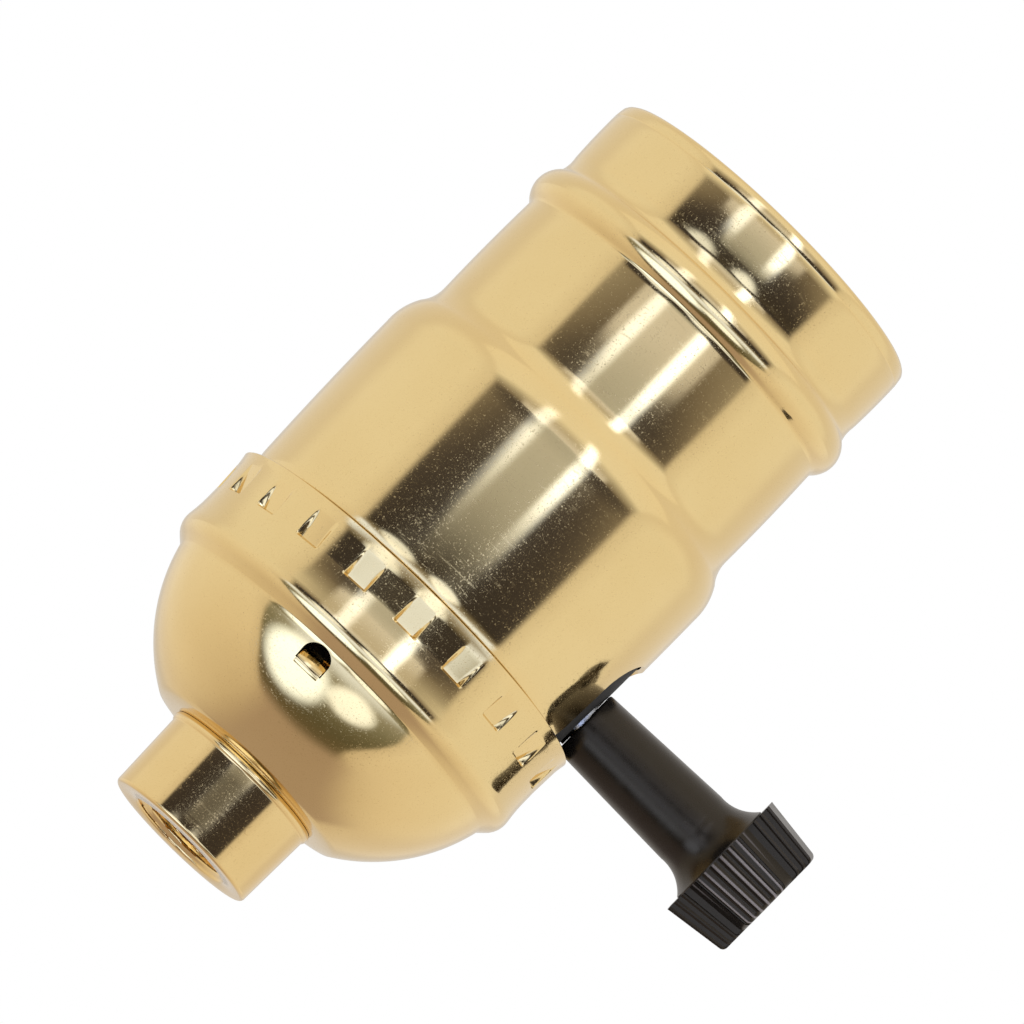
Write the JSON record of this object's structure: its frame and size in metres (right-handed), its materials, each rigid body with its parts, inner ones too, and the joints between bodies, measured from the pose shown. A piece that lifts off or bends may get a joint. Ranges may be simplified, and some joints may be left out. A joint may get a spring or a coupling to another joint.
{
  "type": "lamp holder",
  "caption": "Brass shell lamp holder with a side turn-knob switch, a threaded hub for a lamp pipe and a rolled screw shell for a medium screw-base lamp.",
  "frame": {"origin": "centre of the hub's entry face, on the socket's axis", "axes": "+Z along the socket to the lamp's mouth, +X along the switch shaft to the knob"},
  "size_m": [0.0591, 0.0382, 0.0727],
  "materials": {
    "brass_plate": "bright brass plate, lightly hazed",
    "brass_hub": "bright turned brass",
    "brass_raw": "mill-finish brass",
    "fibre": "dark vulcanised fibre",
    "moulded_black": "moulded, matt",
    "aluminium": "rolled, semi-bright",
    "nickel": "nickel plated",
    "spring_steel": "spring temper",
    "rotor_white": "moulded, matt",
    "knob_black": "satin moulded black"
  },
  "bodies": {
    "holder": {"cap": "brass_plate", "cap_bushing": "brass_hub", "outer_shell": "brass_plate", "shell_liner": "fibre", "switch_body": "moulded_black", "body_cover": "moulded_black", "screw_shell": "aluminium", "fibre_washer": "fibre", "shell_rivets": "brass_raw", "hot_terminal": "brass_raw", "hot_terminal_screw": "brass_raw", "neutral_terminal": "nickel", "neutral_terminal_screw": "nickel", "load_blade": "brass_raw", "blade_rivet": "brass_raw", "shaft_ferrule": "nickel", "detent_spring": "spring_steel"},
    "knob": {"knob": "knob_black", "switch_shaft": "nickel", "switch_rotor": "rotor_white", "rotor_contact": "brass_raw", "shaft_washer": "fibre"},
    "lamp_contact": {"centre_contact": "brass_raw"}
  },
  "joints": [
    {"name": "knob_turn", "type": "hinge", "parent": "holder", "child": "knob", "pos_m": [0, 0, 0.03177], "axis": [1, 0, 0], "continuous": true, "deforming": ["detent_spring"]},
    {"name": "contact_press", "type": "hinge", "parent": "holder", "child": "lamp_contact", "pos_m": [-0.0042, 0, 0.04777], "axis": [0, 1, 0], "range_deg": [0, 10], "stiffness_Nm_per_rad": 0.15, "springref_deg": -1.72}
  ]
}
